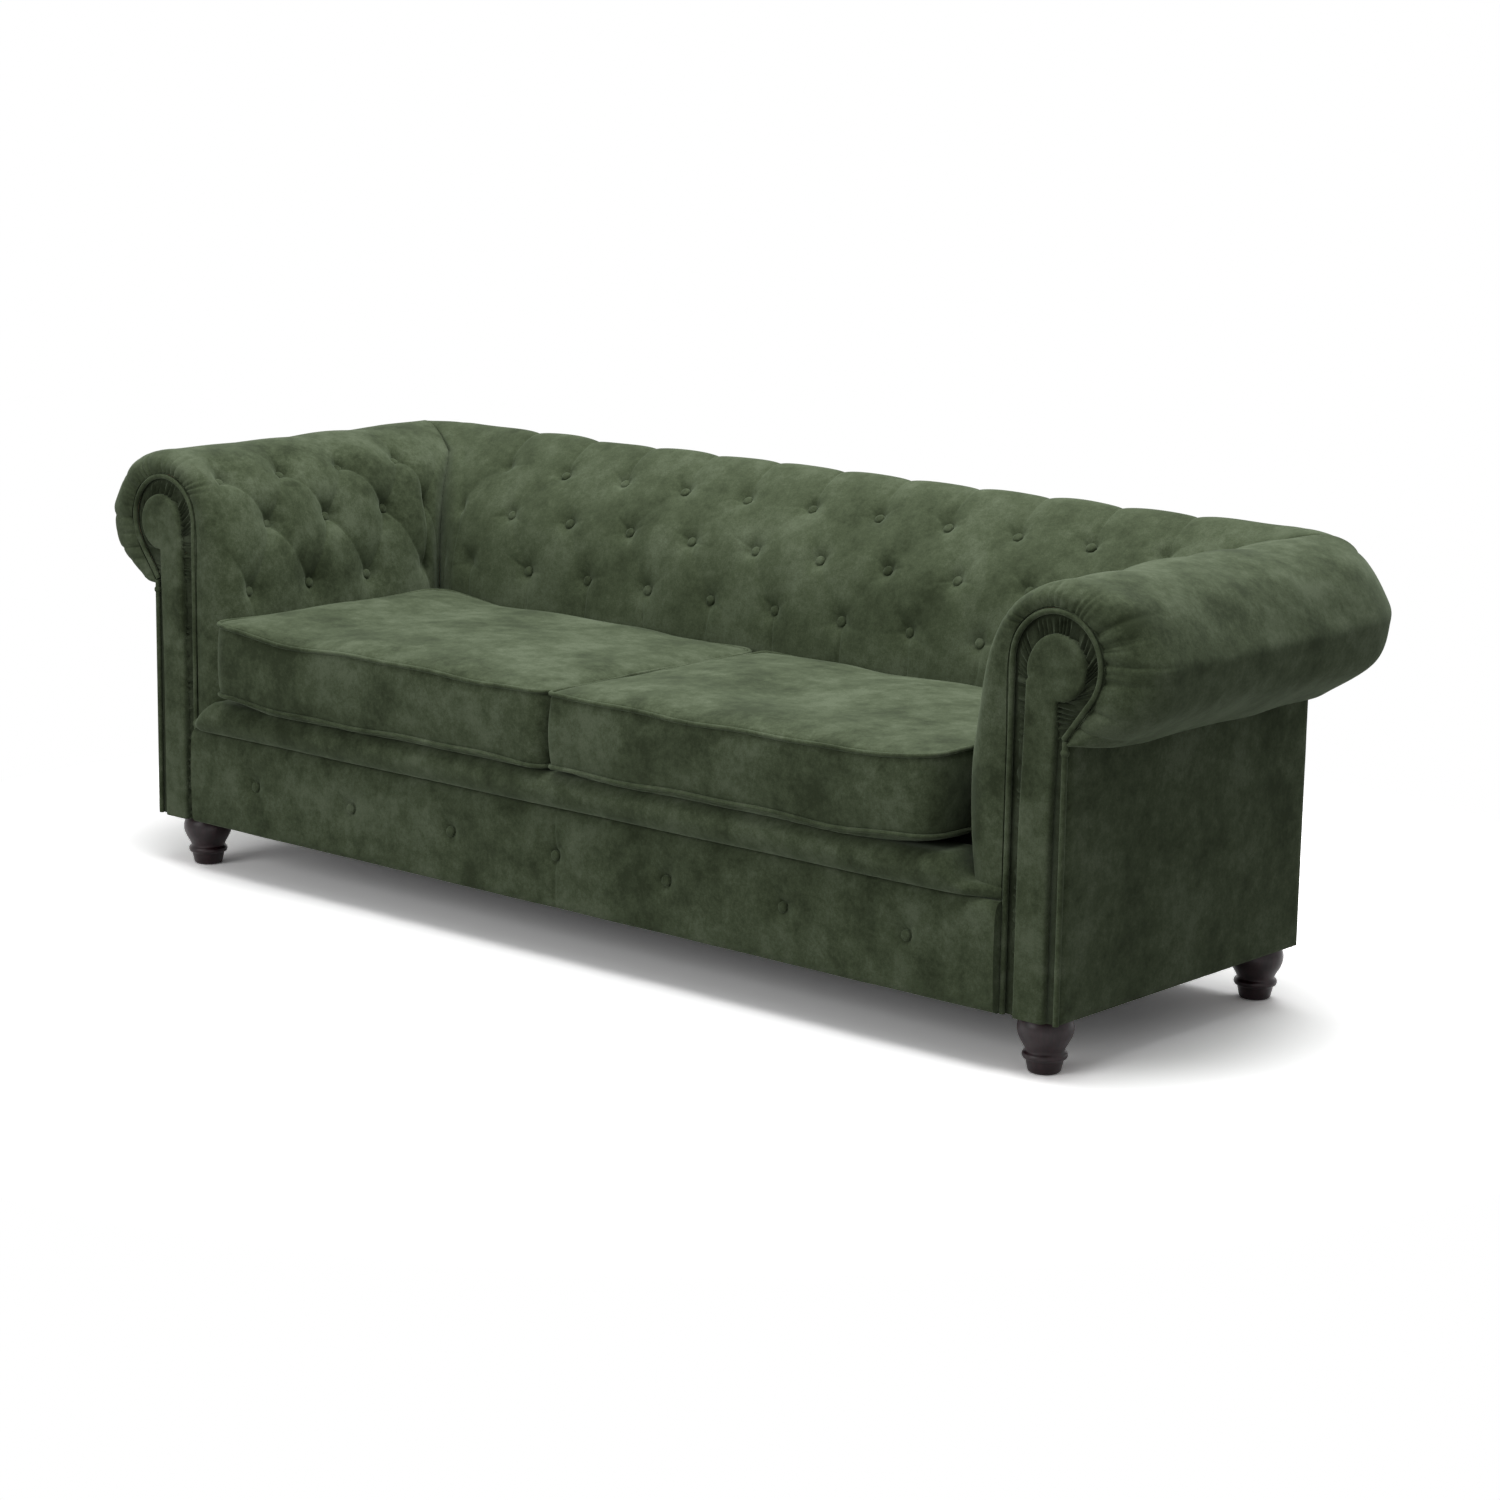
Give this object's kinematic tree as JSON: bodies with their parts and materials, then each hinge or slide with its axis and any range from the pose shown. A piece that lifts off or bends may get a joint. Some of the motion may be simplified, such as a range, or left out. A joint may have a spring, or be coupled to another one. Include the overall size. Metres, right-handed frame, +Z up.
{
  "type": "chesterfield sofa",
  "caption": "Chesterfield sofa with deep-buttoned scrolled arms and back, a buttoned front border, loose piped box seat cushions and turned wooden feet.",
  "frame": {"origin": "on the floor under the centre of the sofa's footprint", "axes": "+X along the seat to the arm on the right of someone who faces the sofa's front, +Y from the front edge to the back, +Z up"},
  "size_m": [2.292, 0.828, 0.747],
  "materials": {
    "green_velvet": "crushed velvet, dark green",
    "foam": "open-cell foam",
    "dark_cloth": "plain woven, black",
    "frame_wood": "sawn hardwood",
    "stained_wood": "dark mahogany stain, glossy",
    "steel": "plain"
  },
  "bodies": {
    "sofa_frame": {"arm_buttons_left": "green_velvet", "arm_buttons_right": "green_velvet", "arm_cover_left": "green_velvet", "arm_cover_right": "green_velvet", "arm_foam_left": "foam", "arm_foam_right": "foam", "arm_front_board_left": "frame_wood", "arm_front_board_right": "frame_wood", "arm_liners": "dark_cloth", "arm_outer_rail_left": "frame_wood", "arm_outer_rail_right": "frame_wood", "arm_rear_board_left": "frame_wood", "arm_rear_board_right": "frame_wood", "arm_tack_rails": "frame_wood", "arm_top_rail_left": "frame_wood", "arm_top_rail_right": "frame_wood", "back_boards": "frame_wood", "back_buttons": "green_velvet", "back_cover": "green_velvet", "back_foam": "foam", "back_outer_rail": "frame_wood", "back_tack_rail": "frame_wood", "back_top_rail": "frame_wood", "back_webbing": "dark_cloth", "border_buttons": "green_velvet", "centre_rail": "frame_wood", "corner_blocks": "frame_wood", "deck_cover": "dark_cloth", "deck_pad": "foam", "dust_cover": "dark_cloth", "facing_left": "green_velvet", "facing_right": "green_velvet", "foot_bolts": "steel", "front_border": "green_velvet", "front_feet": "stained_wood", "front_rail": "frame_wood", "lip_roll": "green_velvet", "outer_arm_panel_left": "green_velvet", "outer_arm_panel_right": "green_velvet", "outer_back_panel": "green_velvet", "pleated_band_left": "green_velvet", "pleated_band_right": "green_velvet", "rear_feet": "stained_wood", "rear_rail": "frame_wood", "scroll_piping_left": "green_velvet", "scroll_piping_right": "green_velvet", "seat_springs": "steel", "side_piping": "green_velvet", "side_rail_left": "frame_wood", "side_rail_right": "frame_wood", "spring_clips": "steel"},
    "seat_cushion_left": {"cushion_core_left": "foam", "cushion_cover_left": "green_velvet", "cushion_piping_left": "green_velvet", "cushion_zip_left": "steel"},
    "seat_cushion_right": {"cushion_core_right": "foam", "cushion_cover_right": "green_velvet", "cushion_piping_right": "green_velvet", "cushion_zip_right": "steel"}
  },
  "joints": [
    {"name": "lift_off_cushion_left", "type": "slide", "parent": "sofa_frame", "child": "seat_cushion_left", "axis": [0, 0, 1], "range_m": [0, 0.3]},
    {"name": "lift_off_cushion_right", "type": "slide", "parent": "sofa_frame", "child": "seat_cushion_right", "axis": [0, 0, 1], "range_m": [0, 0.3]}
  ]
}
